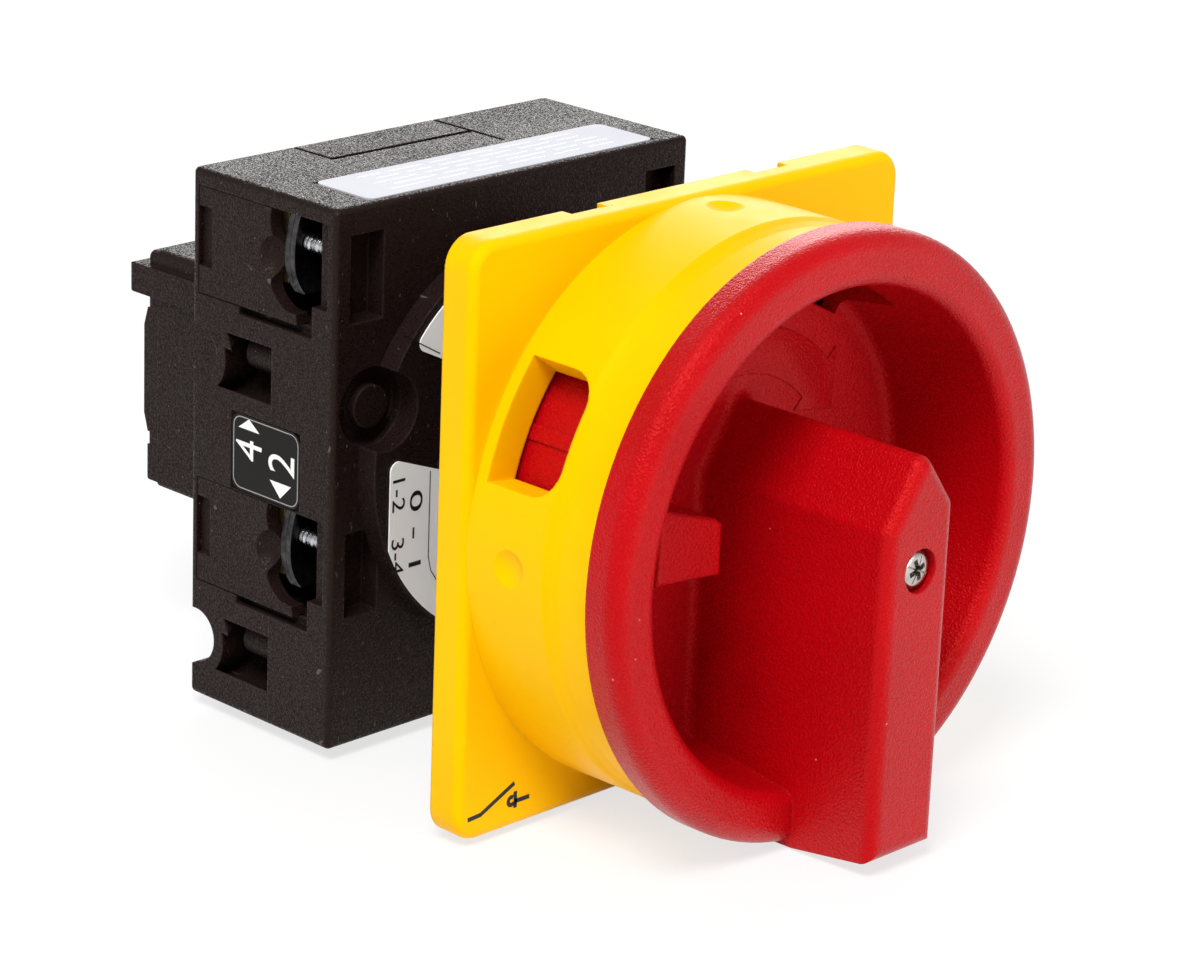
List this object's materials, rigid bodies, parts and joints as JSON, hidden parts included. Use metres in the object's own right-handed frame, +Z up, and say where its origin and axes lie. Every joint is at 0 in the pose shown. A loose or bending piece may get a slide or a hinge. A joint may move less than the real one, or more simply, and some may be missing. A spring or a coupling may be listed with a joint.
{
  "type": "rotary isolator switch",
  "caption": "Padlockable rotary isolator: red knob in a yellow square front plate, neck for door mounting, black contact housing with screw terminals behind.",
  "frame": {"origin": "on the shaft axis, at the back face of the yellow front plate, which is the plane that rests on the panel", "axes": "+Z up, front of the switch towards -Y, +X to the right as seen from the front"},
  "size_m": [0.061, 0.0971, 0.061],
  "materials": {
    "yellow_plastic": "satin moulded, smooth",
    "red_plastic": "satin moulded, fine spark-eroded grain",
    "black_plastic": "satin moulded, glass-filled, slightly dusty",
    "white_plastic": "plain moulded",
    "black_label": "printed film",
    "white_label": "printed film, bare",
    "zinc_steel": "bright zinc plated",
    "nickel_steel": "bright nickel plated",
    "spring_steel": "drawn wire",
    "brass_bar": "stamped strip"
  },
  "bodies": {
    "base": {"front_plate": "yellow_plastic", "panel_flange": "black_plastic", "neck": "black_plastic", "round_base": "black_plastic", "front_shell": "black_plastic", "rear_shell": "black_plastic", "terminal_cover_1": "black_plastic", "terminal_cover_2": "black_plastic", "terminal_cover_3": "black_plastic", "terminal_cover_4": "black_plastic", "clamp_plates": "zinc_steel", "terminal_screws": "zinc_steel", "fixed_contact_1": "brass_bar", "fixed_contact_2": "brass_bar", "fixed_contact_3": "brass_bar", "fixed_contact_4": "brass_bar", "rear_body": "black_plastic", "rear_cap": "black_plastic", "tie_screws": "zinc_steel", "side_label_left": "black_label", "side_label_right": "black_label", "top_label": "white_label", "round_label": "white_label"},
    "turning_handle": {"handle": "red_plastic", "handle_screw": "nickel_steel", "shaft": "zinc_steel", "drive_sleeve": "black_plastic", "cam": "white_plastic"},
    "lock": {"lock_slide": "red_plastic"},
    "pole_a": {"bridge_a": "brass_bar", "plunger_a": "white_plastic", "contact_spring_a": "spring_steel"},
    "pole_b": {"bridge_b": "brass_bar", "plunger_b": "white_plastic", "contact_spring_b": "spring_steel"}
  },
  "joints": [
    {"name": "handle_turn", "type": "hinge", "parent": "base", "child": "turning_handle", "pos_m": [0, 0, 0], "axis": [0, -1, 0], "range_deg": [0, 90]},
    {"name": "lock_slide_travel", "type": "slide", "parent": "turning_handle", "child": "lock", "axis": [0, 1, 0], "range_m": [0, 0.004]},
    {"name": "pole_a_lift", "type": "slide", "parent": "base", "child": "pole_a", "axis": [0, 0, 1], "range_m": [0, 0.002], "deforming": ["contact_spring_a"]},
    {"name": "pole_b_lift", "type": "slide", "parent": "base", "child": "pole_b", "axis": [0, 0, -1], "range_m": [0, 0.002], "deforming": ["contact_spring_b"]}
  ],
  "couplings": [
    {"joint": "pole_a_lift", "follows": "handle_turn", "m_per_rad": 0.0012732},
    {"joint": "pole_b_lift", "follows": "handle_turn", "m_per_rad": 0.0012732}
  ]
}
